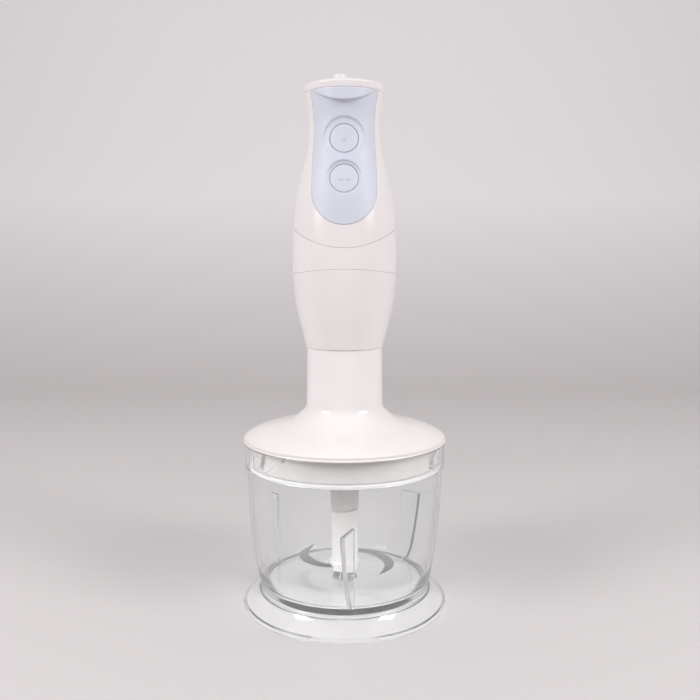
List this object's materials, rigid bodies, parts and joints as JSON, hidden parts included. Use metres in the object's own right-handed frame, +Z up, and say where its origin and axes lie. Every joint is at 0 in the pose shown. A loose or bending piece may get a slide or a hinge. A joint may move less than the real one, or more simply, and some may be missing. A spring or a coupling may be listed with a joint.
{
  "type": "immersion blender",
  "caption": "Hand blender fitted on its chopping bowl: tapered handle with two push buttons, domed geared lid and clear footed bowl with a two-blade unit.",
  "frame": {"origin": "on the table under the centre of the bowl's foot", "axes": "+Z up along the common axis of bowl, lid and handle; -Y towards the buttons"},
  "size_m": [0.1142, 0.1142, 0.2896],
  "materials": {
    "clear_plastic": "clear polished styrene copolymer, moulded",
    "white_gloss": "white gloss moulded plastic",
    "blue_soft": "pale blue soft over-moulding, satin",
    "blade_steel": "ground stainless steel",
    "steel": "turned and plated steel",
    "brass": "sintered bronze and stamped brass",
    "seal_rubber": "translucent white silicone",
    "black_rubber": "black rubber",
    "natural_plastic": "natural acetal and nylon",
    "dark_plastic": "black glass-filled plastic",
    "core_steel": "stacked steel laminations",
    "magnet": "ferrite magnet",
    "copper": "enamelled copper wire",
    "carbon": "carbon graphite",
    "board": "glass-epoxy circuit board",
    "film_case": "epoxy-dipped film capacitor"
  },
  "bodies": {
    "bowl": {"bowl": "clear_plastic", "bowl_foot": "clear_plastic", "blade_pin": "steel"},
    "blade_unit": {"blade_hub": "white_gloss", "hub_bushing": "brass", "lower_blade": "blade_steel", "upper_blade": "blade_steel"},
    "seal": {"lid_seal": "seal_rubber"},
    "lid": {"lid_cover": "white_gloss", "lid_base": "white_gloss", "ring_gear": "natural_plastic", "gearbox_cover": "natural_plastic", "spindle_bushings": "brass", "lid_screws": "steel"},
    "sun": {"sun_gear": "natural_plastic", "input_coupling": "dark_plastic"},
    "carrier": {"planet_carrier": "natural_plastic", "planet_pins": "steel", "output_spindle": "steel"},
    "planet_1": {"planet_gear_1": "natural_plastic"},
    "planet_2": {"planet_gear_2": "natural_plastic"},
    "planet_3": {"planet_gear_3": "natural_plastic"},
    "handle": {"lower_housing": "white_gloss", "rear_shell": "white_gloss", "front_cover": "white_gloss", "soft_pad": "blue_soft", "top_cap": "white_gloss", "cord_gland": "seal_rubber", "cord_clamp": "natural_plastic", "bayonet_ring": "natural_plastic", "motor_can": "steel", "motor_magnets": "magnet", "end_bell": "dark_plastic", "brush_holders": "brass", "carbon_brushes": "carbon", "motor_bearings": "brass", "motor_mounts": "black_rubber", "chassis": "natural_plastic", "circuit_board": "board", "capacitor": "film_case", "rectifier": "dark_plastic", "microswitches": "dark_plastic", "housing_screws": "steel"},
    "rotor": {"motor_shaft": "steel", "armature_core": "core_steel", "armature_windings": "copper", "commutator": "copper", "cooling_fan": "dark_plastic", "drive_dog": "dark_plastic"},
    "speed_key": {"speed_button": "blue_soft", "speed_plunger": "natural_plastic", "speed_spring": "steel"},
    "turbo_key": {"turbo_button": "blue_soft", "turbo_plunger": "natural_plastic", "turbo_spring": "steel"}
  },
  "joints": [
    {"name": "blade_spin", "type": "hinge", "parent": "bowl", "child": "blade_unit", "pos_m": [0, 0, 0.02], "axis": [0, 0, 1], "continuous": true},
    {"name": "lid_twist", "type": "hinge", "parent": "bowl", "child": "seal", "pos_m": [0, 0, 0.08], "axis": [0, 0, 1], "range_deg": [0, 20.5]},
    {"name": "lid_rise", "type": "slide", "parent": "seal", "child": "lid", "axis": [0, 0, 1], "range_m": [0, 0.0079]},
    {"name": "handle_twist", "type": "hinge", "parent": "lid", "child": "handle", "pos_m": [0, 0, 0.15], "axis": [0, 0, 1], "range_deg": [0, 25]},
    {"name": "motor_spin", "type": "hinge", "parent": "handle", "child": "rotor", "pos_m": [0, 0, 0.19], "axis": [0, 0, 1], "continuous": true},
    {"name": "sun_spin", "type": "hinge", "parent": "lid", "child": "sun", "pos_m": [0, 0, 0.124], "axis": [0, 0, 1], "continuous": true},
    {"name": "carrier_spin", "type": "hinge", "parent": "lid", "child": "carrier", "pos_m": [0, 0, 0.115], "axis": [0, 0, 1], "continuous": true},
    {"name": "planet_1_spin", "type": "hinge", "parent": "carrier", "child": "planet_1", "pos_m": [0.00945, 0, 0.124], "axis": [0, 0, 1], "continuous": true},
    {"name": "planet_2_spin", "type": "hinge", "parent": "carrier", "child": "planet_2", "pos_m": [-0.00473, 0.00818, 0.124], "axis": [0, 0, 1], "continuous": true},
    {"name": "planet_3_spin", "type": "hinge", "parent": "carrier", "child": "planet_3", "pos_m": [-0.00473, -0.00818, 0.124], "axis": [0, 0, 1], "continuous": true},
    {"name": "speed_press", "type": "slide", "parent": "handle", "child": "speed_key", "axis": [0, 1, 0], "range_m": [0, 0.002], "stiffness_N_per_m": 600, "springref_m": -0.002, "deforming": ["speed_spring"]},
    {"name": "turbo_press", "type": "slide", "parent": "handle", "child": "turbo_key", "axis": [0, 1, 0], "range_m": [0, 0.002], "stiffness_N_per_m": 600, "springref_m": -0.002, "deforming": ["turbo_spring"]}
  ],
  "couplings": [
    {"joint": "sun_spin", "follows": "motor_spin", "ratio": 1},
    {"joint": "carrier_spin", "follows": "motor_spin", "ratio": 0.22222},
    {"joint": "blade_spin", "follows": "motor_spin", "ratio": 0.22222},
    {"joint": "planet_1_spin", "follows": "motor_spin", "ratio": -0.62222},
    {"joint": "planet_2_spin", "follows": "motor_spin", "ratio": -0.62222},
    {"joint": "planet_3_spin", "follows": "motor_spin", "ratio": -0.62222},
    {"joint": "lid_rise", "follows": "lid_twist", "m_per_rad": 0.0218}
  ]
}
